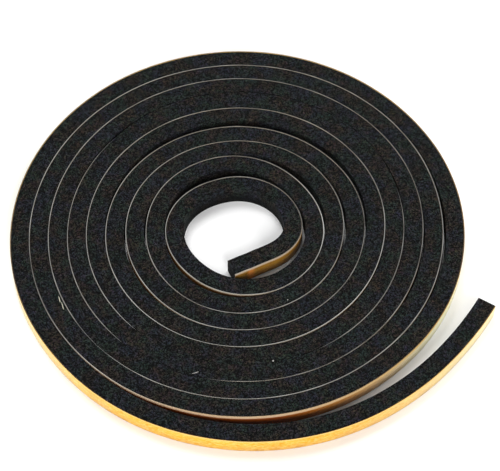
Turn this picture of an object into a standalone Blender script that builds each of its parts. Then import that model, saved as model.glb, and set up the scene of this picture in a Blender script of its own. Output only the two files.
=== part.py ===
"""Coil of self-adhesive foam hob seal, lying on its side.

One long strip of soft black foam, nearly square in section, carries a release
liner on its glued face. It is wound into a loose flat coil with the liner outwards.
The turns touch, apart from a few places where the coil has sprung open. The
outer end leaves the coil as a free tail, and the inner end cuts across the hole
as a flatter chord. Units are metres, +Z is up, and the strip runs anticlockwise
from its inner end, seen from above. Bearings are in degrees from +X.
"""

import math

import bmesh
import bpy
from mathutils import Vector

# The strip's own section
FOAM_THICKNESS = 0.0060
STRIP_WIDTH = 0.0066
GLUE_FILM = 0.00015
LINER_THICKNESS = 0.00020
LINER_EDGE_INSET = 0.00010

# The coil
CORE_RADIUS = 0.0151
TURN_CLEARANCE = 0.00020
TURNS = 9.229
INNER_END_BEARING = -102.0
STATIONS_PER_TURN = 60

# The inner end, which cuts across the hole as a flatter chord, and whose very tip
# turns back towards the coil
CHORD_DEPTH = 0.0044
CHORD_BEARING = -59.0
CHORD_REACH = 70.0
FLARE = 0.0012
FLARE_ARC = 18.0

# The outer end, which springs away from the coil over its last stretch, and whose
# very tip bends out a little more
TAIL_SPRING = 0.0068
TAIL_ARC = 124.0
TAIL_POWER = 1.26
TIP_BEND = 0.0016
TIP_ARC = 18.0

# Where a turn stands off the turn inside it: degrees along the strip from the
# bearing of +X, half the length of the loose stretch in degrees, and the gap
LOOSE_PLACES = (
    (170.0, 65.0, 0.0017),
    (333.0, 100.0, 0.0010),
    (469.0, 80.0, 0.0030),
    (601.0, 80.0, 0.0013),
    (766.0, 64.0, 0.0020),
    (893.0, 44.0, 0.0005),
    (1087.0, 65.0, 0.0008),
    (1288.0, 60.0, 0.0007),
    (1524.0, 120.0, 0.0021),
    (1755.0, 64.0, 0.0005),
    (2246.0, 120.0, 0.0007),
    (2504.0, 40.0, 0.0006),
    (2880.0, 50.0, 0.0008),
)

FOAM_COLOUR = (0.018, 0.019, 0.020, 1.0)
LINER_COLOUR = (0.83, 0.52, 0.13, 1.0)

PITCH = FOAM_THICKNESS + GLUE_FILM + LINER_THICKNESS + TURN_CLEARANCE
OUTER_END_BEARING = INNER_END_BEARING + 360.0 * TURNS
STEPS = round(TURNS * STATIONS_PER_TURN)


def clear_scene():
    for thing in list(bpy.data.objects):
        bpy.data.objects.remove(thing, do_unlink=True)


def swell(bearing, middle, reach):
    """A smooth hump of height 1 at middle, down to 0 at its reach on each side."""
    offset = abs(bearing - middle)
    if offset >= reach:
        return 0.0
    return 0.5 + 0.5 * math.cos(math.pi * offset / reach)


def coil_radius(bearing):
    """Radius of the strip's middle line where it lies on the coil."""
    wound = CORE_RADIUS + FOAM_THICKNESS / 2 + PITCH * bearing / 360.0
    for middle, reach, gap in LOOSE_PLACES:
        # A loose place pushes out every turn that lies over it as well
        over = bearing
        while over > middle - reach:
            wound += gap * swell(over, middle, reach)
            over -= 360.0
    return wound


def strip_radius(bearing):
    """Radius of the strip's middle line, with its two free ends."""
    from_end = bearing - INNER_END_BEARING
    chord = swell(bearing, CHORD_BEARING, CHORD_REACH)
    flare = max(0.0, 1.0 - from_end / FLARE_ARC) ** 2
    inner_end = FLARE * flare - CHORD_DEPTH * chord
    to_end = OUTER_END_BEARING - bearing
    tail = max(0.0, 1.0 - to_end / TAIL_ARC) ** TAIL_POWER
    tip = max(0.0, 1.0 - to_end / TIP_ARC) ** 2
    outer_end = TAIL_SPRING * tail + TIP_BEND * tip
    return coil_radius(bearing) + inner_end + outer_end


def middle_line():
    """Points of the strip's middle line, one for each station, round the coil's centre."""
    points = []
    for station in range(STEPS + 1):
        bearing = INNER_END_BEARING + 360.0 * TURNS * station / STEPS
        turned = math.radians(bearing)
        radius = strip_radius(bearing)
        points.append(Vector((radius * math.cos(turned), radius * math.sin(turned), 0.0)))
    return points


def outward_normals(points):
    """At each point of the middle line, the level direction that the liner faces."""
    normals = []
    last = len(points) - 1
    for station in range(len(points)):
        along = points[min(station + 1, last)] - points[max(station - 1, 0)]
        along.normalize()
        normals.append(Vector((along.y, -along.x, 0.0)))
    return normals


def ribbon(name, points, normals, inner, outer, bottom, top, material):
    """A solid that follows the middle line, between two offsets from it and two heights."""
    shell = bmesh.new()
    rings = []
    for point, normal in zip(points, normals):
        corners = ((inner, bottom), (outer, bottom), (outer, top), (inner, top))
        rings.append(
            [shell.verts.new(point + normal * out + Vector((0, 0, up))) for out, up in corners]
        )
    for here, there in zip(rings, rings[1:]):
        for side in range(4):
            after = (side + 1) % 4
            shell.faces.new((here[side], here[after], there[after], there[side]))
    shell.faces.new(rings[0])
    shell.faces.new(rings[-1])
    bmesh.ops.recalc_face_normals(shell, faces=shell.faces)
    mesh = bpy.data.meshes.new(name)
    shell.to_mesh(mesh)
    shell.free()
    mesh.materials.append(material)
    mesh.shade_smooth()
    mesh.set_sharp_from_angle(angle=math.radians(30))
    solid = bpy.data.objects.new(name, mesh)
    bpy.context.scene.collection.objects.link(solid)
    return solid


def plain_material(name, colour, roughness):
    material = bpy.data.materials.new(name)
    material.use_nodes = True
    shader = material.node_tree.nodes["Principled BSDF"]
    shader.inputs["Base Color"].default_value = colour
    shader.inputs["Roughness"].default_value = roughness
    shader.inputs["Metallic"].default_value = 0.0
    return material


def foam_strip(points, normals):
    return ribbon(
        "foam_strip",
        points,
        normals,
        inner=-FOAM_THICKNESS / 2,
        outer=FOAM_THICKNESS / 2,
        bottom=0.0,
        top=STRIP_WIDTH,
        material=plain_material("black_foam", FOAM_COLOUR, 0.9),
    )


def release_liner(points, normals):
    glued_face = FOAM_THICKNESS / 2 + GLUE_FILM
    return ribbon(
        "release_liner",
        points,
        normals,
        inner=glued_face,
        outer=glued_face + LINER_THICKNESS,
        bottom=LINER_EDGE_INSET,
        top=STRIP_WIDTH - LINER_EDGE_INSET,
        material=plain_material("yellow_release_paper", LINER_COLOUR, 0.5),
    )


def centred(points, normals):
    """The middle line moved so that the box of the whole coil is centred on the origin."""
    reach = FOAM_THICKNESS / 2 + GLUE_FILM + LINER_THICKNESS
    inner_side = [p - n * (FOAM_THICKNESS / 2) for p, n in zip(points, normals)]
    outer_side = [p + n * reach for p, n in zip(points, normals)]
    edge = inner_side + outer_side
    middle = Vector(
        (
            (min(p.x for p in edge) + max(p.x for p in edge)) / 2,
            (min(p.y for p in edge) + max(p.y for p in edge)) / 2,
            0.0,
        )
    )
    return [p - middle for p in points]


def main():
    clear_scene()
    around_centre = middle_line()
    normals = outward_normals(around_centre)
    points = centred(around_centre, normals)
    foam_strip(points, normals)
    release_liner(points, normals)


main()
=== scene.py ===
"""Looks of the hob seal: a loose flat coil of black foam strip with a golden liner.

The strip is swept along one spiral, which is worked out by the same rule as the
solid. Places along the strip are bearings, in degrees from +X and anticlockwise
seen from above, that count on from turn to turn. Lengths are metres.
"""

import math

import bmesh
import bpy
import numpy as np
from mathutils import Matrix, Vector
from mathutils.bvhtree import BVHTree


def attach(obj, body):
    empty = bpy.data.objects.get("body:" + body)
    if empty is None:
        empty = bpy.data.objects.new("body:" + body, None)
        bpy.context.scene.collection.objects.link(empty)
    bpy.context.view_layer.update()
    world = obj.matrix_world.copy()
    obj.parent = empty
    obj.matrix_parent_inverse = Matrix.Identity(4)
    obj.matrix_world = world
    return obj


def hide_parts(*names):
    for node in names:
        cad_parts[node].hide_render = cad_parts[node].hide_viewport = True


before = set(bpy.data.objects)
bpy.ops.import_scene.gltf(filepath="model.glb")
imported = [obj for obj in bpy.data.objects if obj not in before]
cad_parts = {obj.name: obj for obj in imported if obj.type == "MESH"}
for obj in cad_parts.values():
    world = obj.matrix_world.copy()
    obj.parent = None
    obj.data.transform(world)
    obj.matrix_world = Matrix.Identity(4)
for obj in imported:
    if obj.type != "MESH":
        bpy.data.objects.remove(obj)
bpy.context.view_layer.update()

# The strip and its coil, as the solids have them
FOAM_THICKNESS = 0.0060
STRIP_WIDTH = 0.0066
GLUE_FILM = 0.00015
LINER_THICKNESS = 0.00020
LINER_EDGE_INSET = 0.00010
CORE_RADIUS = 0.0151
TURN_CLEARANCE = 0.00020
TURNS = 9.229
INNER_END_BEARING = -102.0
CHORD_DEPTH = 0.0044
CHORD_BEARING = -59.0
CHORD_REACH = 70.0
FLARE = 0.0012
FLARE_ARC = 18.0
TAIL_SPRING = 0.0068
TAIL_ARC = 124.0
TAIL_POWER = 1.26
TIP_BEND = 0.0016
TIP_ARC = 18.0
LOOSE_PLACES = (
    (170.0, 65.0, 0.0017),
    (333.0, 100.0, 0.0010),
    (469.0, 80.0, 0.0030),
    (601.0, 80.0, 0.0013),
    (766.0, 64.0, 0.0020),
    (893.0, 44.0, 0.0005),
    (1087.0, 65.0, 0.0008),
    (1288.0, 60.0, 0.0007),
    (1524.0, 120.0, 0.0021),
    (1755.0, 64.0, 0.0005),
    (2246.0, 120.0, 0.0007),
    (2504.0, 40.0, 0.0006),
    (2880.0, 50.0, 0.0008),
)
PITCH = FOAM_THICKNESS + GLUE_FILM + LINER_THICKNESS + TURN_CLEARANCE
OUTER_END_BEARING = INNER_END_BEARING + 360.0 * TURNS
HALF_FOAM = FOAM_THICKNESS / 2
GLUED_FACE = HALF_FOAM + GLUE_FILM
LINER_FACE = GLUED_FACE + LINER_THICKNESS

# How the soft strip really sits: the foam presses up to the turn inside it, its top
# settles unevenly, and its cut edges are a little rounded
FOAM_PRESS = 0.00014
FOAM_EDGE_RADIUS = 0.00022
FOAM_LUMPS = 0.00009
FOAM_LUMP_SIZE = 0.0028
FOAM_SETTLE = 0.00014
GLUE_EDGE_INSET = 0.00030
PAPER_CORNER = 0.00003
HAIR_GAP = 0.00001
SETTLE_LENGTH = 0.045

# How far apart the sweep's points lie along the strip, and how finely the spiral is
# sampled to find the coil's box and the strip's length
PATH_SPACING = 0.0011
BOX_SAMPLES = 4000
LENGTH_SAMPLES = 20000

# Where the liner's edge has slipped below the foam, so that its pale line is lost:
# bearing, half the length in degrees, depth. Past the covering depth the foam's top
# edge closes over it, and over most of the gap where the next turn stands off. Rise
# counts from 0 at the foam's bottom to 1 at its top.
SLIPPED_PLACES = (
    (1703.0, 52.0, 0.0015),
    (1877.0, 84.0, 0.0015),
    (2043.0, 26.0, 0.0010),
    (2383.0, 18.0, 0.0004),
)
COVERING_DEPTH = 0.0007
LIP_FROM_RISE = 0.75
LIP_FULL_RISE = 0.96
LIP = GLUE_FILM + LINER_THICKNESS + TURN_CLEARANCE - FOAM_PRESS - HAIR_GAP
GAP_CLOSED = 0.74
EDGE_WANDER = 0.00012
EDGE_WANDER_LENGTH = 0.011

# How pale the liner's cut edge is, from 0 to 1: painted light makes it paler towards one side of
# the coil, and it is more or less pale in some places: bearing, half the length in degrees, how
# much more
PALE_LEVEL = 0.265
LIT_SWING = 0.16
LIT_SIDE = 225.0
PALE_WANDER = 0.26
PALE_WANDER_LENGTH = 0.006
PALE_PLACES = (
    (-102.0, 9.0, 0.50),
    (370.0, 75.0, 0.68),
    (462.0, 36.0, -0.20),
    (598.0, 34.0, -0.20),
    (730.0, 25.0, 0.16),
    (805.0, 55.0, -0.22),
    (1032.0, 34.0, -0.20),
    (1160.0, 100.0, -0.18),
    (1296.0, 34.0, 0.20),
    (1404.0, 82.0, 0.46),
    (1530.0, 60.0, -0.16),
    (1964.0, 60.0, -0.22),
    (2080.0, 60.0, -0.28),
    (2490.0, 80.0, 0.22),
    (2640.0, 190.0, 0.08),
    (2716.0, 24.0, -0.24),
    (2762.0, 34.0, 0.26),
)

# The liner's face: amber, which is painted shade, between the turns, clean gold on the outermost turn from
# this bearing on, and a pale cream painted highlight in places: bearing, half the length in degrees, how
# much
GOLD_FROM = 2800.0
GOLD_BY = 2852.0
GLARE_PLACES = (
    (2850.0, 46.0, 1.0),
    (3046.0, 86.0, 1.0),
    (3240.0, 76.0, 0.90),
)

# How much painted shade darkens the amber between the turns, and how far down the painted highlight along
# the top of the liner's face reaches, with reddish painted shade below it: bearing and how much, with even
# steps between
GAP_SHADE = ((-102.0, 0.0), (-15.0, 0.1), (40.0, 0.85), (2690.0, 0.85), (2760.0, 1.0))
LIGHT_REACH = (
    (-102.0, 0.38),
    (-20.0, 0.38),
    (20.0, 0.0),
    (2735.0, 0.0),
    (2778.0, 1.0),
    (2840.0, 1.0),
    (2880.0, 0.0),
)
# A small torn spot near the inner end, where the paper shows orange
TORN_SPOT = -81.0
TORN_REACH = 6.0

# The camera, from the photograph: its size, and how much of the coil one pixel covers
PIXEL = 0.0003466
CAMERA_ELEVATION = math.radians(55.5)
CAMERA_DISTANCE = 1700 * PIXEL
SENSOR_WIDTH = 36.0
PHOTO_WIDTH = 500
PHOTO_HEIGHT = 471
COIL_CENTRE_PIXEL = (241.0, 229.5)

# Soft boxes round the coil: bearing, elevation, and how bright each one alone would
# make a white floor. The low ones send little light down between the turns.
SOFT_BOXES = (
    ("front", 290.0, 38.0, 0.42),
    ("back", 115.0, 62.0, 0.48),
    ("right", 46.0, 24.0, 0.27),
    ("left", 222.0, 18.0, 0.15),
)
BOX_DISTANCE = 2.0
BOX_SIZE = 0.91
ROOM_LIGHT = 0.20
FLOOR_SIZE = 6.0

# Loose bits that lie on the foam: pixel, length, width, the way they point in
# degrees, and what they are made of
LOOSE_BITS = (
    ((59.2, 299.8), 0.0026, 0.00032, 107.0, "shaving"),
    ((62.5, 306.6), 0.0034, 0.00028, 107.0, "shaving"),
    ((196.0, 373.5), 0.0026, 0.00032, 20.0, "lint"),
    ((273.7, 361.5), 0.00075, 0.00070, 0.0, "lint"),
    ((288.0, 300.0), 0.00045, 0.00040, 30.0, "lint"),
)
BIT_THICKNESS = 0.00006
BIT_CURL = 0.12
BIT_SIDES = 10


# The strip's path

def swell(bearing, middle, reach):
    """A smooth hump of height 1 at middle, down to 0 at its reach on each side."""
    offset = np.minimum(np.abs(bearing - middle) / reach, 1.0)
    return 0.5 + 0.5 * np.cos(np.pi * offset)


def humps(bearing, listed):
    """The sum of the listed humps at each bearing: middle, half the length, height."""
    return sum(height * swell(bearing, middle, reach) for middle, reach, height in listed)


def strip_radius(bearing):
    """Radius of the strip's middle line, with its loose places and its two free ends."""
    radius = CORE_RADIUS + HALF_FOAM + PITCH * bearing / 360.0
    for middle, reach, gap in LOOSE_PLACES:
        over = bearing
        while over.max() > middle - reach:
            radius = radius + gap * swell(over, middle, reach)
            over = over - 360.0
    from_end = bearing - INNER_END_BEARING
    chord = swell(bearing, CHORD_BEARING, CHORD_REACH)
    flare = np.maximum(0.0, 1.0 - from_end / FLARE_ARC) ** 2
    inner_end = FLARE * flare - CHORD_DEPTH * chord
    to_end = OUTER_END_BEARING - bearing
    tail = np.maximum(0.0, 1.0 - to_end / TAIL_ARC) ** TAIL_POWER
    tip = np.maximum(0.0, 1.0 - to_end / TIP_ARC) ** 2
    return radius + inner_end + TAIL_SPRING * tail + TIP_BEND * tip


def places(bearing):
    """Points of the middle line round the coil's centre, and the outward normals there."""
    turned = np.radians(bearing)
    radius = strip_radius(bearing)
    nudge = 0.01
    change = strip_radius(bearing + nudge) - strip_radius(bearing - nudge)
    slope = change / (2 * math.radians(nudge))
    points = np.stack([radius * np.cos(turned), radius * np.sin(turned)], axis=1)
    along = np.stack(
        [
            slope * np.cos(turned) - radius * np.sin(turned),
            slope * np.sin(turned) + radius * np.cos(turned),
        ],
        axis=1,
    )
    along /= np.linalg.norm(along, axis=1)[:, None]
    return points, np.stack([along[:, 1], -along[:, 0]], axis=1)


def coil_offset():
    """How far the coil's centre lies from the middle of the coil's box."""
    points, normals = places(np.linspace(INNER_END_BEARING, OUTER_END_BEARING, BOX_SAMPLES))
    edge = np.vstack([points - normals * HALF_FOAM, points + normals * LINER_FACE])
    return -(edge.min(0) + edge.max(0)) / 2


def strip_bearings(spacing):
    """Bearings of points that lie evenly along the strip, and how far along it each lies."""
    fine = np.linspace(INNER_END_BEARING, OUTER_END_BEARING, LENGTH_SAMPLES)
    points, _ = places(fine)
    run = np.concatenate([[0], np.cumsum(np.linalg.norm(np.diff(points, axis=0), axis=1))])
    along = np.linspace(0, run[-1], round(run[-1] / spacing) + 1)
    return np.interp(along, run, fine), along


def smooth_noise(along, wavelength, seed):
    """A smooth random line from -1 to 1 that changes over about the wavelength."""
    draw = np.random.default_rng(seed)
    total = np.zeros_like(along)
    for part, share in ((1.0, 0.6), (2.3, 0.3), (5.1, 0.1)):
        knots = draw.uniform(-1, 1, int(along[-1] / wavelength * part) + 4)
        at = along / wavelength * part
        low = at.astype(int)
        blend = at - low
        blend = blend * blend * (3 - 2 * blend)
        total += share * (knots[low] * (1 - blend) + knots[low + 1] * blend)
    return total


def path_object(name, spacing):
    """A chain of edges down the strip, with what the sweep reads at each of its points."""
    bearing, along = strip_bearings(spacing)
    points, normals = places(bearing)
    points = points + coil_offset()
    flat = np.zeros((len(points), 1))
    slipped = humps(bearing, SLIPPED_PLACES)
    lip = np.clip(slipped / COVERING_DEPTH, 0, 1)
    inner_lip = np.clip(humps(bearing - 360.0, SLIPPED_PLACES) / COVERING_DEPTH, 0, 1)
    stands_off = np.maximum(strip_radius(bearing + 360.0) - strip_radius(bearing) - PITCH, 0)
    # The swing towards one side of the coil is painted light on the cut edge
    pale = PALE_LEVEL + LIT_SWING * np.cos(np.radians(bearing - LIT_SIDE))
    pale = pale + PALE_WANDER * smooth_noise(along, PALE_WANDER_LENGTH, 5)
    pale = pale + humps(bearing, PALE_PLACES)
    wander = EDGE_WANDER * np.abs(smooth_noise(along, EDGE_WANDER_LENGTH, 7))
    settle = FOAM_SETTLE * np.abs(smooth_noise(along, SETTLE_LENGTH, 11))
    mesh = bpy.data.meshes.new(name)
    links = [(i, i + 1) for i in range(len(points) - 1)]
    mesh.from_pydata(np.hstack([points, flat]).tolist(), links, [])
    for label, kind, values in (
        ("outward", "FLOAT_VECTOR", np.hstack([normals, flat])),
        ("along", "FLOAT", along),
        ("edge_drop", "FLOAT", slipped + wander),
        ("settle", "FLOAT", settle),
        ("lip", "FLOAT", lip),
        ("lip_reach", "FLOAT", lip * (LIP + GAP_CLOSED * stands_off)),
        ("inner_lip", "FLOAT", inner_lip),
        ("pale", "FLOAT", np.clip(pale, 0, 1)),
        # The liner's face gets painted shade between the turns, a pale painted highlight in places on the
        # outer turn, and a painted highlight along its top that reaches further down in places
        ("gold", "FLOAT", np.clip((bearing - GOLD_FROM) / (GOLD_BY - GOLD_FROM), 0, 1)),
        ("glare", "FLOAT", np.clip(humps(bearing, GLARE_PLACES), 0, 1)),
        ("gap_shade", "FLOAT", np.interp(bearing, *zip(*GAP_SHADE))),
        ("light_reach", "FLOAT", np.interp(bearing, *zip(*LIGHT_REACH))),
        ("torn", "FLOAT", swell(bearing, TORN_SPOT, TORN_REACH)),
    ):
        field = mesh.attributes.new(label, kind, "POINT")
        field.data.foreach_set("vector" if kind == "FLOAT_VECTOR" else "value", values.ravel())
    path = bpy.data.objects.new(name, mesh)
    bpy.context.scene.collection.objects.link(path)
    return path


# Node trees

def put(tree, kind, values=(), **settings):
    """Adds a node. values gives its inputs, by name or number, a value or another node's output."""
    node = tree.nodes.new(kind)
    for key, value in settings.items():
        setattr(node, key, value)
    for key, value in dict(values).items():
        if isinstance(value, bpy.types.NodeSocket):
            tree.links.new(value, node.inputs[key])
        else:
            node.inputs[key].default_value = value
    return node


def maths(tree, kind, operation, *values):
    """The output of a Math node, or of a Vector Math node, on those values."""
    node = put(tree, kind, enumerate(values), operation=operation)
    return node.outputs[0]


def number(tree, operation, *values):
    return maths(tree, "ShaderNodeMath", operation, *values)


def vector(tree, operation, *values):
    return maths(tree, "ShaderNodeVectorMath", operation, *values)


def scaled(tree, value, factor):
    """A vector times a number, either of them from another node."""
    node = put(tree, "ShaderNodeVectorMath", {0: value, "Scale": factor}, operation="SCALE")
    return node.outputs[0]


def between(tree, value, low, high, to_low=0.0, to_high=1.0):
    """A number eased from one range into another, and kept inside it."""
    node = put(
        tree,
        "ShaderNodeMapRange",
        {"Value": value, "From Min": low, "From Max": high, "To Min": to_low, "To Max": to_high},
        interpolation_type="SMOOTHSTEP",
    )
    return node.outputs[0]


def mixed(tree, amount, first, second):
    """A colour that goes from the first to the second with the amount."""
    node = put(tree, "ShaderNodeMix", {0: amount, 6: first, 7: second}, data_type="RGBA")
    return node.outputs[2]


def new_tree(name, kind, inputs, outputs):
    """A node group with named sockets, and its input and output nodes."""
    tree = bpy.data.node_groups.new(name, kind)
    for label, socket, default in inputs:
        made = tree.interface.new_socket(name=label, in_out="INPUT", socket_type=socket)
        if default is not None:
            made.default_value = default
    for label, socket in outputs:
        tree.interface.new_socket(name=label, in_out="OUTPUT", socket_type=socket)
    return tree, tree.nodes.new("NodeGroupInput"), tree.nodes.new("NodeGroupOutput")


def sweep_tree():
    """Geometry Nodes that sweep a rounded rectangle along the strip's path."""
    tree, given, result = new_tree(
        "strip_sweep",
        "GeometryNodeTree",
        (
            ("Path", "NodeSocketGeometry", None),
            ("Inner Face", "NodeSocketFloat", -0.003),
            ("Outer Face", "NodeSocketFloat", 0.003),
            ("Bottom", "NodeSocketFloat", 0.0),
            ("Top", "NodeSocketFloat", 0.006),
            ("Corner Radius", "NodeSocketFloat", 0.0003),
            ("Corner Steps", "NodeSocketInt", 3),
            ("Side Cuts", "NodeSocketInt", 3),
            ("Edge Drop", "NodeSocketFloat", 0.0),
            ("Settle", "NodeSocketFloat", 0.0),
            ("Lip", "NodeSocketFloat", 0.0),
            ("Fill", "NodeSocketFloat", 0.0),
            ("Unevenness", "NodeSocketFloat", 0.0),
            ("Lump Size", "NodeSocketFloat", 0.003),
            ("Seed", "NodeSocketFloat", 1.0),
            ("Material", "NodeSocketMaterial", None),
        ),
        (("Solid", "NodeSocketGeometry"),),
    )
    take = given.outputs
    width = number(tree, "SUBTRACT", take["Outer Face"], take["Inner Face"])
    height = number(tree, "SUBTRACT", take["Top"], take["Bottom"])
    oblong = put(tree, "GeometryNodeCurvePrimitiveQuadrilateral", {"Width": width, "Height": height})
    rounded = put(
        tree,
        "GeometryNodeFilletCurve",
        {"Curve": oblong.outputs[0], "Count": take["Corner Steps"], "Radius": take["Corner Radius"]},
        mode="POLY",
    )
    index = put(tree, "GeometryNodeInputIndex").outputs[0]
    corner_points = number(tree, "ADD", take["Corner Steps"], 1.0)
    turn = number(tree, "MODULO", index, corner_points)
    last = number(tree, "COMPARE", turn, take["Corner Steps"], 0.1)
    cuts = number(tree, "MULTIPLY", last, take["Side Cuts"])
    profile = put(tree, "GeometryNodeSubdivideCurve", {"Curve": rounded.outputs[0], "Cuts": cuts})
    section = put(tree, "GeometryNodeCaptureAttribute", {"Geometry": profile.outputs[0]}, domain="POINT")
    section.capture_items.new("VECTOR", "Section")
    place = put(tree, "GeometryNodeInputPosition").outputs[0]
    tree.links.new(place, section.inputs[1])
    curve = put(tree, "GeometryNodeMeshToCurve", {"Mesh": take["Path"]})
    line = put(tree, "GeometryNodeCaptureAttribute", {"Geometry": curve.outputs[0]}, domain="POINT")
    line.capture_items.new("VECTOR", "Line")
    tree.links.new(place, line.inputs[1])
    swept = put(
        tree,
        "GeometryNodeCurveToMesh",
        {"Curve": line.outputs[0], "Profile Curve": section.outputs[0], "Fill Caps": True},
    )
    outside = put(tree, "GeometryNodeFlipFaces", {"Mesh": swept.outputs[0]})

    def read(label, kind="FLOAT"):
        return put(tree, "GeometryNodeInputNamedAttribute", {"Name": label}, data_type=kind).outputs[0]

    part = put(tree, "ShaderNodeSeparateXYZ", {0: section.outputs[1]}).outputs
    middle = number(tree, "MULTIPLY", number(tree, "ADD", take["Outer Face"], take["Inner Face"]), 0.5)
    rise = number(tree, "ADD", number(tree, "DIVIDE", part[1], height), 0.5)
    at_top = between(tree, rise, LIP_FROM_RISE, LIP_FULL_RISE)
    outer_side = number(tree, "GREATER_THAN", part[0], 0.0)
    half_width = number(tree, "MULTIPLY", width, 0.5)
    beside = number(tree, "SUBTRACT", half_width, number(tree, "ABSOLUTE", part[0]))
    hollow = number(tree, "MULTIPLY", beside, number(tree, "LESS_THAN", beside, take["Corner Radius"]))
    filled = number(tree, "MULTIPLY", hollow, take["Fill"])
    reach = number(tree, "MULTIPLY", take["Lip"], read("lip_reach"))
    out = number(tree, "ADD", reach, number(tree, "MULTIPLY", filled, read("lip")))
    outer_shift = number(tree, "MULTIPLY", number(tree, "MULTIPLY", out, outer_side), at_top)
    inner_side = number(tree, "SUBTRACT", 1.0, outer_side)
    back = number(tree, "MULTIPLY", number(tree, "MULTIPLY", filled, read("inner_lip")), inner_side)
    inner_shift = number(tree, "MULTIPLY", back, at_top)
    shift = number(tree, "SUBTRACT", outer_shift, inner_shift)
    across = number(tree, "ADD", number(tree, "ADD", part[0], middle), shift)
    drop = number(
        tree,
        "ADD",
        number(tree, "MULTIPLY", read("edge_drop"), take["Edge Drop"]),
        number(tree, "MULTIPLY", read("settle"), take["Settle"]),
    )
    level = number(tree, "MULTIPLY", rise, number(tree, "SUBTRACT", height, drop))
    up = number(tree, "ADD", level, take["Bottom"])
    outward = scaled(tree, read("outward", "FLOAT_VECTOR"), across)
    lifted = put(tree, "ShaderNodeCombineXYZ", {2: up}).outputs[0]
    spot = vector(tree, "ADD", vector(tree, "ADD", line.outputs[1], outward), lifted)
    shaped = put(tree, "GeometryNodeSetPosition", {"Geometry": outside.outputs[0], "Position": spot})
    straight = put(tree, "ShaderNodeCombineXYZ", {0: read("along"), 1: across, 2: up}).outputs[0]
    kept = put(
        tree,
        "GeometryNodeStoreNamedAttribute",
        {"Geometry": shaped.outputs[0], "Name": "straightened", "Value": straight},
        data_type="FLOAT_VECTOR",
        domain="POINT",
    )
    risen = put(
        tree,
        "GeometryNodeStoreNamedAttribute",
        {"Geometry": kept.outputs[0], "Name": "rise", "Value": rise},
        data_type="FLOAT",
        domain="POINT",
    )
    lumps = put(
        tree,
        "ShaderNodeTexNoise",
        {"Scale": number(tree, "DIVIDE", 1.0, take["Lump Size"]), "Detail": 2.0, "W": take["Seed"]},
        noise_dimensions="4D",
    )
    closed = number(tree, "MULTIPLY", number(tree, "MAXIMUM", read("lip"), read("inner_lip")), at_top)
    free = number(tree, "SUBTRACT", closed, 1.0)
    lump = number(tree, "MULTIPLY", lumps.outputs[0], take["Unevenness"])
    inward = number(tree, "MULTIPLY", lump, free)
    push = scaled(tree, put(tree, "GeometryNodeInputNormal").outputs[0], inward)
    lumpy = put(tree, "GeometryNodeSetPosition", {"Geometry": risen.outputs[0], "Offset": push})
    bare = lumpy.outputs[0]
    for label in ("outward", "along", "edge_drop", "settle", "lip", "lip_reach", "inner_lip"):
        bare = put(tree, "GeometryNodeRemoveAttribute", {"Geometry": bare, "Name": label}).outputs[0]
    soft = put(tree, "GeometryNodeSetShadeSmooth", {"Geometry": bare, "Shade Smooth": True})
    real = put(tree, "GeometryNodeRealizeInstances", {"Geometry": soft.outputs[0]})
    finish = {"Geometry": real.outputs[0], "Material": take["Material"]}
    painted = put(tree, "GeometryNodeSetMaterial", finish)
    tree.links.new(painted.outputs[0], result.inputs[0])
    return tree


def swept_piece(name, tree, path, sizes):
    """One piece of the strip: the sweep with those sizes, turned into a plain mesh."""
    modifier = path.modifiers.new(name, "NODES")
    modifier.node_group = tree
    for item in tree.interface.items_tree:
        if item.in_out == "INPUT" and item.name in sizes:
            modifier[item.identifier] = sizes[item.name]
    path.update_tag()
    graph = bpy.context.evaluated_depsgraph_get()
    mesh = bpy.data.meshes.new_from_object(
        path.evaluated_get(graph), preserve_all_data_layers=True, depsgraph=graph
    )
    mesh.name = name
    path.modifiers.remove(modifier)
    piece = bpy.data.objects.new(name, mesh)
    bpy.context.scene.collection.objects.link(piece)
    return piece


# Effects that several finishes share

def foam_cell_group():
    """Closed cells cut open: a shade for each cell, and the height of its walls."""
    tree, given, result = new_tree(
        "foam_cells",
        "ShaderNodeTree",
        (
            ("Place", "NodeSocketVector", None),
            ("Cell Size", "NodeSocketFloat", 0.0005),
            ("Contrast", "NodeSocketFloat", 0.5),
        ),
        (("Shade", "NodeSocketFloat"), ("Height", "NodeSocketFloat"), ("Cast", "NodeSocketColor")),
    )
    take = given.outputs
    shades = []
    heights = []
    for share, size in ((0.8, 1.0), (0.2, 2.3)):
        finest = number(tree, "DIVIDE", 1.0 / size, take["Cell Size"])
        cells = put(tree, "ShaderNodeTexVoronoi", {"Vector": take["Place"], "Scale": finest})
        tint = put(tree, "ShaderNodeSeparateColor", {0: cells.outputs["Color"]}).outputs[0]
        shades.append(number(tree, "MULTIPLY", number(tree, "SUBTRACT", tint, 0.5), share))
        heights.append(number(tree, "MULTIPLY", cells.outputs["Distance"], share))
    spread = number(tree, "MULTIPLY", number(tree, "ADD", *shades), take["Contrast"])
    tree.links.new(number(tree, "ADD", spread, 1.0), result.inputs["Shade"])
    tree.links.new(number(tree, "ADD", *heights), result.inputs["Height"])
    tree.links.new(cells.outputs["Color"], result.inputs["Cast"])
    return tree


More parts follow.
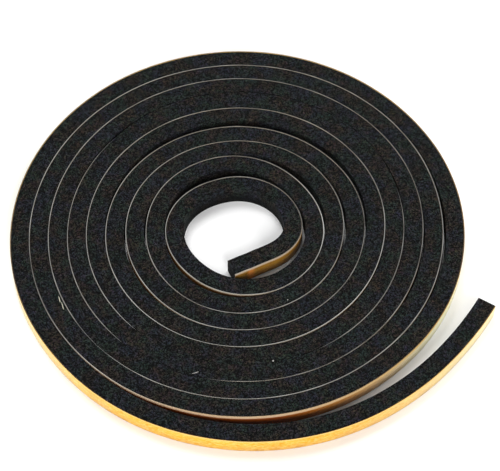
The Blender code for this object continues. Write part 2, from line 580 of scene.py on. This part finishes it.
def fibre_group():
    """Paper fibres: short streaks that run along the strip, and soft cloudy mottling."""
    tree, given, result = new_tree(
        "paper_fibres",
        "ShaderNodeTree",
        (
            ("Place", "NodeSocketVector", None),
            ("Fibre Length", "NodeSocketFloat", 0.0016),
            ("Fibre Width", "NodeSocketFloat", 0.00022),
            ("Cloud Size", "NodeSocketFloat", 0.006),
        ),
        (("Fibres", "NodeSocketFloat"), ("Clouds", "NodeSocketFloat")),
    )
    take = given.outputs
    long = number(tree, "DIVIDE", 1.0, take["Fibre Length"])
    fine = number(tree, "DIVIDE", 1.0, take["Fibre Width"])
    stretch = put(tree, "ShaderNodeCombineXYZ", {0: long, 1: fine, 2: fine}).outputs[0]
    drawn = vector(tree, "MULTIPLY", take["Place"], stretch)
    fibres = put(
        tree,
        "ShaderNodeTexNoise",
        {"Vector": drawn, "Scale": 1.0, "Detail": 3.0, "Roughness": 0.6},
    )
    cloud_scale = number(tree, "DIVIDE", 1.0, take["Cloud Size"])
    clouds = put(tree, "ShaderNodeTexNoise", {"Vector": take["Place"], "Scale": cloud_scale, "Detail": 4.0})
    tree.links.new(fibres.outputs[0], result.inputs["Fibres"])
    tree.links.new(clouds.outputs[0], result.inputs["Clouds"])
    return tree


def dust_group():
    """Sparse pale specks of dust, more of them in some patches than in others."""
    tree, given, result = new_tree(
        "dust",
        "ShaderNodeTree",
        (
            ("Place", "NodeSocketVector", None),
            ("Speck Size", "NodeSocketFloat", 0.0003),
            ("Patch Size", "NodeSocketFloat", 0.012),
            ("Amount", "NodeSocketFloat", 0.5),
        ),
        (("Mask", "NodeSocketFloat"),),
    )
    take = given.outputs
    speck_scale = number(tree, "DIVIDE", 1.0, take["Speck Size"])
    patch_scale = number(tree, "DIVIDE", 1.0, take["Patch Size"])
    place = take["Place"]
    specks = put(tree, "ShaderNodeTexNoise", {"Vector": place, "Scale": speck_scale, "Detail": 1.0})
    patches = put(tree, "ShaderNodeTexNoise", {"Vector": place, "Scale": patch_scale, "Detail": 2.0})
    few = between(tree, specks.outputs[0], 0.66, 0.80)
    some = between(tree, patches.outputs[0], 0.40, 0.65)
    mask = number(tree, "MULTIPLY", number(tree, "MULTIPLY", few, some), take["Amount"])
    tree.links.new(mask, result.inputs["Mask"])
    return tree


def use_group(tree, group, values):
    """Places a shader node group in a material, with its own values."""
    return put(tree, "ShaderNodeGroup", values, node_tree=group).outputs


def new_material(name, **constants):
    """A material with its shader's constant values set on the shader itself."""
    material = bpy.data.materials.new(name)
    material.use_nodes = True
    tree = material.node_tree
    shader = tree.nodes["Principled BSDF"]
    for key, value in constants.items():
        shader.inputs[key.replace("_", " ")].default_value = value
    return material, tree, shader


def attribute(tree, label, output="Fac"):
    """An attribute that the sweep stored, read as a number or as a vector."""
    return put(tree, "ShaderNodeAttribute", attribute_name=label).outputs[output]


def bumped(tree, shader, *layers):
    """Stacks bumps on the shader's normal: strength, depth in metres, height."""
    normal = None
    for strength, depth, height in layers:
        values = {"Strength": strength, "Distance": depth, "Height": height}
        if normal is not None:
            values["Normal"] = normal
        normal = put(tree, "ShaderNodeBump", values).outputs[0]
    tree.links.new(normal, shader.inputs["Normal"])


# Finishes

BLUISH_FOAM = (0.0040, 0.0048, 0.0067, 1)
BROWNISH_FOAM = (0.0063, 0.0049, 0.0038, 1)
GREENISH_FOAM = (0.0038, 0.0061, 0.0050, 1)
FOAM_DUST = (0.040, 0.038, 0.034, 1)
DEEP_GOLD = (0.70, 0.310, 0.004, 1)
LIGHT_GOLD = (0.78, 0.385, 0.014, 1)
GOLD_FIBRE = (0.88, 0.56, 0.15, 1)
# A pale cream painted highlight on the outer gold
GLARE_CREAM = (0.92, 0.88, 0.56, 1)
# The amber and stain colours are painted shade: the gold paper darkened between the turns, reddish in
# places
SHADED_DEEP_AMBER = (0.20, 0.080, 0.004, 1)
SHADED_LIGHT_AMBER = (0.30, 0.140, 0.012, 1)
SHADED_AMBER_FIBRE = (0.34, 0.18, 0.03, 1)
DARK_GAP_SHADE = (0.10, 0.036, 0.010, 1)
RED_GAP_SHADE = (0.30, 0.060, 0.006, 1)
TORN_ORANGE = (0.62, 0.20, 0.035, 1)
# Paler colours for the painted highlight along the top of the liner's face
INNER_HIGHLIGHT = (0.46, 0.40, 0.31, 1)
DEEP_INNER_HIGHLIGHT = (0.68, 0.47, 0.29, 1)
GOLD_HIGHLIGHT = (0.80, 0.54, 0.17, 1)
EDGE_DARK = (0.05, 0.051, 0.052, 1)
EDGE_PALE = (0.55, 0.55, 0.53, 1)
EDGE_TAN = (0.22, 0.16, 0.10, 1)
EDGE_BROWN = (0.07, 0.022, 0.003, 1)
PAPER_DUST = (0.45, 0.38, 0.25, 1)
DARK_GLUE = (0.030, 0.022, 0.014, 1)
LIGHT_GLUE = (0.075, 0.055, 0.036, 1)
GLUE_DUST = (0.30, 0.27, 0.22, 1)
SHAVING_DARK = (0.36, 0.34, 0.26, 1)
SHAVING_PALE = (0.60, 0.58, 0.46, 1)
LINT_DARK = (0.16, 0.155, 0.145, 1)
LINT_PALE = (0.42, 0.41, 0.39, 1)


def black_foam(cells, fibres, dust):
    """Matt black cellular foam, with cell shades, faint casts of colour, some dust, and painted shade that
    darkens its sides towards the bottom.
    """
    material, tree, shader = new_material("black_foam", Metallic=0.0, Specular_IOR_Level=0.10)
    place = put(tree, "ShaderNodeTexCoord").outputs["Object"]
    straight = attribute(tree, "straightened", "Vector")
    cell = use_group(tree, cells, {"Place": place, "Cell Size": 0.00036, "Contrast": 8.8})
    saw = use_group(
        tree,
        fibres,
        {"Place": straight, "Fibre Length": 0.004, "Fibre Width": 0.00035, "Cloud Size": 0.007},
    )
    specks = use_group(tree, dust, {"Place": place, "Speck Size": 0.00028, "Amount": 0.55})["Mask"]
    cast = put(tree, "ShaderNodeTexNoise", {"Vector": place, "Scale": 130.0, "Detail": 2.0})
    # Painted shade: the foam's sides get darker towards the bottom
    painted_low_shade = between(tree, attribute(tree, "rise"), 0.10, 0.88, 0.15, 1.0)
    warm = mixed(tree, between(tree, cast.outputs[0], 0.42, 0.58), BLUISH_FOAM, BROWNISH_FOAM)
    green = mixed(tree, between(tree, saw["Clouds"], 0.45, 0.62), warm, GREENISH_FOAM)
    streak = between(tree, saw["Fibres"], 0.30, 0.72, 0.80, 1.25)
    shade = number(tree, "MULTIPLY", number(tree, "MULTIPLY", cell["Shade"], streak), painted_low_shade)
    tinted = mixed(tree, 0.16, green, scaled(tree, cell["Cast"], 0.011))
    speckled = scaled(tree, tinted, number(tree, "MAXIMUM", shade, 0.06))
    dusty = mixed(tree, specks, speckled, FOAM_DUST)
    tree.links.new(dusty, shader.inputs["Base Color"])
    tree.links.new(between(tree, cell["Height"], 0.1, 0.8, 0.62, 0.92), shader.inputs["Roughness"])
    bumped(tree, shader, (0.75, 0.00010, cell["Height"]), (0.35, 0.00008, saw["Fibres"]))
    return material


def golden_liner(fibres, dust):
    """Golden yellow release paper: painted shade between the turns, a painted highlight along its top and
    in places on the outer turn, and a pale or browned cut edge, paler on one side of the coil by painted
    light.
    """
    material, tree, shader = new_material("golden_liner", Metallic=0.0, Specular_IOR_Level=0.16)
    straight = attribute(tree, "straightened", "Vector")
    labels = ("rise", "pale", "gold", "glare", "gap_shade", "light_reach", "torn")
    rise, pale, gold, glare, gap_shade, light_reach, torn = (attribute(tree, label) for label in labels)
    paper = use_group(
        tree,
        fibres,
        {"Place": straight, "Fibre Length": 0.0011, "Fibre Width": 0.00032, "Cloud Size": 0.005},
    )
    specks = use_group(tree, dust, {"Place": straight, "Speck Size": 0.0003, "Amount": 0.35})["Mask"]
    cloudy = between(tree, paper["Clouds"], 0.35, 0.65)
    clean = mixed(tree, cloudy, DEEP_GOLD, LIGHT_GOLD)
    threads = between(tree, paper["Fibres"], 0.42, 0.60, 0.0, 0.80)
    clean = mixed(tree, threads, clean, GOLD_FIBRE)
    # Painted highlight: the outer turn's gold goes pale cream in places
    glared = mixed(tree, glare, clean, GLARE_CREAM)
    # Painted shade: between the turns the liner is darker amber, darker or reddish still further in
    amber = mixed(tree, cloudy, SHADED_DEEP_AMBER, SHADED_LIGHT_AMBER)
    fibrous = mixed(tree, threads, amber, SHADED_AMBER_FIBRE)
    gap_shaded = mixed(tree, light_reach, DARK_GAP_SHADE, RED_GAP_SHADE)
    golden = mixed(tree, gold, mixed(tree, gap_shade, fibrous, gap_shaded), glared)
    golden = mixed(tree, torn, golden, TORN_ORANGE)
    # Painted highlight: the top of the liner's face is paler, further down in some places
    ragged = number(tree, "ADD", rise, number(tree, "MULTIPLY", paper["Fibres"], 0.05))
    start = between(tree, light_reach, 0.0, 1.0, 0.83, 0.75)
    end = between(tree, light_reach, 0.0, 1.0, 1.01, 0.85)
    top_highlight = between(tree, ragged, start, end, 0.0, 0.95)
    inner_highlight = mixed(tree, light_reach, INNER_HIGHLIGHT, DEEP_INNER_HIGHLIGHT)
    top_lit = mixed(tree, top_highlight, golden, mixed(tree, gold, inner_highlight, GOLD_HIGHLIGHT))
    # The cut edge: paler on one side of the coil by painted light, tan where the top highlight reaches far
    # down, brown on the outer turn
    edge_tone = mixed(tree, pale, EDGE_DARK, EDGE_PALE)
    browned = mixed(tree, gold, mixed(tree, light_reach, edge_tone, EDGE_TAN), EDGE_BROWN)
    from_middle = number(tree, "ABSOLUTE", number(tree, "SUBTRACT", rise, 0.5))
    cut = mixed(tree, between(tree, from_middle, 0.495, 0.498), top_lit, browned)
    tree.links.new(mixed(tree, specks, cut, PAPER_DUST), shader.inputs["Base Color"])
    tree.links.new(between(tree, paper["Clouds"], 0.3, 0.7, 0.34, 0.52), shader.inputs["Roughness"])
    bumped(tree, shader, (0.30, 0.00004, paper["Fibres"]))
    return material


def tacky_glue(dust):
    """Amber adhesive between foam and liner, with dust stuck on its bare edge."""
    material, tree, shader = new_material(
        "tacky_glue", Metallic=0.0, Specular_IOR_Level=0.5, Roughness=0.35
    )
    straight = attribute(tree, "straightened", "Vector")
    specks = use_group(
        tree,
        dust,
        {"Place": straight, "Speck Size": 0.0004, "Patch Size": 0.02, "Amount": 0.8},
    )
    blotch = put(tree, "ShaderNodeTexNoise", {"Vector": straight, "Scale": 900.0, "Detail": 2.0})
    amber = mixed(tree, blotch.outputs[0], DARK_GLUE, LIGHT_GLUE)
    tree.links.new(mixed(tree, specks["Mask"], amber, GLUE_DUST), shader.inputs["Base Color"])
    return material


def loose_bit_finish(name, dark, pale, fibres):
    """Torn paper or lint, mottled by its fibres."""
    material, tree, shader = new_material(name, Metallic=0.0, Roughness=0.8, Specular_IOR_Level=0.3)
    place = put(tree, "ShaderNodeTexCoord").outputs["Object"]
    threads = use_group(tree, fibres, {"Place": place, "Fibre Length": 0.0006, "Fibre Width": 0.0001})
    tree.links.new(mixed(tree, threads["Fibres"], dark, pale), shader.inputs["Base Color"])
    bumped(tree, shader, (0.4, 0.00005, threads["Fibres"]))
    return material


# Loose bits on the foam

def photo_place(pixel):
    """The point of the coil's top that the photograph shows at that pixel."""
    right = (pixel[0] - COIL_CENTRE_PIXEL[0]) * PIXEL
    back = (COIL_CENTRE_PIXEL[1] - pixel[1]) * PIXEL
    sine, cosine = math.sin(CAMERA_ELEVATION), math.cos(CAMERA_ELEVATION)
    y = back / (sine - back * cosine / CAMERA_DISTANCE)
    x = right * (1 + y * cosine / CAMERA_DISTANCE)
    return coil_offset() + np.array([x, y])


def loose_bit(name, ground, pixel, length, width, heading, material, seed):
    """A small torn flake that lies on the foam, closed, a little curled and with a ragged edge."""
    draw = np.random.default_rng(seed)
    spot = photo_place(pixel)
    turned = math.radians(heading)
    edge = draw.uniform(0.7, 1.15, BIT_SIDES)
    outline = []
    for side in range(BIT_SIDES):
        angle = 2 * math.pi * side / BIT_SIDES
        long = length / 2 * math.cos(angle) * edge[side]
        wide = width / 2 * math.sin(angle) * edge[side]
        x = spot[0] + long * math.cos(turned) - wide * math.sin(turned)
        y = spot[1] + long * math.sin(turned) + wide * math.cos(turned)
        outline.append((x, y, BIT_CURL * abs(long)))
    down = Vector((0, 0, -1))
    casts = [ground.ray_cast(Vector((x, y, STRIP_WIDTH * 2)), down)[0] for x, y, _ in outline]
    rest = max(hit.z for hit in casts if hit is not None) + HAIR_GAP
    shape = bmesh.new()
    rims = [
        [shape.verts.new((x, y, rest + curl + layer * BIT_THICKNESS)) for x, y, curl in outline]
        for layer in (0, 1)
    ]
    for side in range(BIT_SIDES):
        after = (side + 1) % BIT_SIDES
        shape.faces.new((rims[0][side], rims[0][after], rims[1][after], rims[1][side]))
    shape.faces.new(list(reversed(rims[0])))
    shape.faces.new(rims[1])
    bmesh.ops.recalc_face_normals(shape, faces=shape.faces)
    mesh = bpy.data.meshes.new(name)
    shape.to_mesh(mesh)
    shape.free()
    mesh.materials.append(material)
    bit = bpy.data.objects.new(name, mesh)
    bpy.context.scene.collection.objects.link(bit)
    return bit


# Pieces

cells = foam_cell_group()
fibres = fibre_group()
dust = dust_group()
sweep = sweep_tree()
path = path_object("strip_path", PATH_SPACING)
foam = swept_piece(
    "foam_strip_soft",
    sweep,
    path,
    {
        "Inner Face": -HALF_FOAM - FOAM_PRESS,
        "Outer Face": HALF_FOAM,
        "Bottom": 0.0,
        "Top": STRIP_WIDTH,
        "Corner Radius": FOAM_EDGE_RADIUS,
        "Corner Steps": 3,
        "Side Cuts": 3,
        "Settle": 1.0,
        "Lip": 1.0,
        "Fill": 1.0,
        "Unevenness": FOAM_LUMPS,
        "Lump Size": FOAM_LUMP_SIZE,
        "Seed": 3.0,
        "Material": black_foam(cells, fibres, dust),
    },
)
liner = swept_piece(
    "release_liner_paper",
    sweep,
    path,
    {
        "Inner Face": GLUED_FACE,
        "Outer Face": LINER_FACE,
        "Bottom": LINER_EDGE_INSET,
        "Top": STRIP_WIDTH - LINER_EDGE_INSET,
        "Corner Radius": PAPER_CORNER,
        "Corner Steps": 1,
        "Side Cuts": 1,
        "Edge Drop": 1.0,
        "Material": golden_liner(fibres, dust),
    },
)
glue = swept_piece(
    "adhesive_film",
    sweep,
    path,
    {
        "Inner Face": HALF_FOAM + HAIR_GAP,
        "Outer Face": GLUED_FACE - HAIR_GAP,
        "Bottom": GLUE_EDGE_INSET,
        "Top": STRIP_WIDTH - GLUE_EDGE_INSET,
        "Corner Radius": PAPER_CORNER,
        "Corner Steps": 1,
        "Side Cuts": 0,
        "Edge Drop": 1.0,
        "Material": tacky_glue(dust),
    },
)
bpy.data.objects.remove(path, do_unlink=True)
for piece, slot in ((foam, "black_foam"), (liner, "release_paper"), (glue, "release_paper")):
    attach(piece, "root")
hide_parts("foam_strip")
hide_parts("release_liner")

bit_finishes = {
    "shaving": loose_bit_finish("torn_liner", SHAVING_DARK, SHAVING_PALE, fibres),
    "lint": loose_bit_finish("pale_lint", LINT_DARK, LINT_PALE, fibres),
}
bpy.context.view_layer.update()
ground = BVHTree.FromObject(foam, bpy.context.evaluated_depsgraph_get())
for count, (pixel, length, width, heading, kind) in enumerate(LOOSE_BITS):
    bit = loose_bit(
        "%s_%d" % (kind, count + 1), ground, pixel, length, width, heading, bit_finishes[kind], count
    )
    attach(bit, "root")

# Floor, light and camera

bpy.ops.mesh.primitive_plane_add(size=FLOOR_SIZE, location=(0, 0, 0))
floor = bpy.context.object
floor.name = "floor"
floor.data.materials.append(
    new_material(
        "pale_floor",
        Base_Color=(0.93, 0.93, 0.93, 1),
        Roughness=0.9,
        Specular_IOR_Level=0.2,
    )[0]
)

camera = bpy.data.objects.new("camera", bpy.data.cameras.new("camera"))
bpy.context.scene.collection.objects.link(camera)
camera.data.sensor_width = SENSOR_WIDTH
camera.data.lens = CAMERA_DISTANCE / (PHOTO_WIDTH * PIXEL) * SENSOR_WIDTH
offset = coil_offset()
aim = Vector(
    (
        offset[0] + (PHOTO_WIDTH / 2 - COIL_CENTRE_PIXEL[0]) * PIXEL,
        offset[1] - (PHOTO_HEIGHT / 2 - COIL_CENTRE_PIXEL[1]) * PIXEL / math.sin(CAMERA_ELEVATION),
        STRIP_WIDTH,
    )
)
back = Vector((0, -math.cos(CAMERA_ELEVATION), math.sin(CAMERA_ELEVATION)))
camera.location = aim + back * CAMERA_DISTANCE
camera.rotation_euler = (-back).to_track_quat("-Z", "Y").to_euler()
camera.data.clip_start = 0.01
bpy.context.scene.camera = camera

for name, bearing, elevation, share in SOFT_BOXES:
    tilt = math.radians(elevation)
    turned = math.radians(bearing)
    level = math.cos(tilt)
    towards = Vector((level * math.cos(turned), level * math.sin(turned), math.sin(tilt)))
    box = bpy.data.objects.new("soft_box_" + name, bpy.data.lights.new("soft_box_" + name, "AREA"))
    bpy.context.scene.collection.objects.link(box)
    box.data.size = BOX_SIZE
    # Its power follows from how bright the floor is to be at that distance and slant
    box.data.energy = share * (math.pi * BOX_DISTANCE) ** 2 / towards.z
    box.location = towards * BOX_DISTANCE
    box.rotation_euler = towards.to_track_quat("Z", "Y").to_euler()
world = bpy.context.scene.world or bpy.data.worlds.new("world")
bpy.context.scene.world = world
world.use_nodes = True
world.node_tree.nodes["Background"].inputs[0].default_value = (1, 1, 1, 1)
world.node_tree.nodes["Background"].inputs[1].default_value = ROOM_LIGHT
bpy.context.scene.view_settings.view_transform = "Standard"
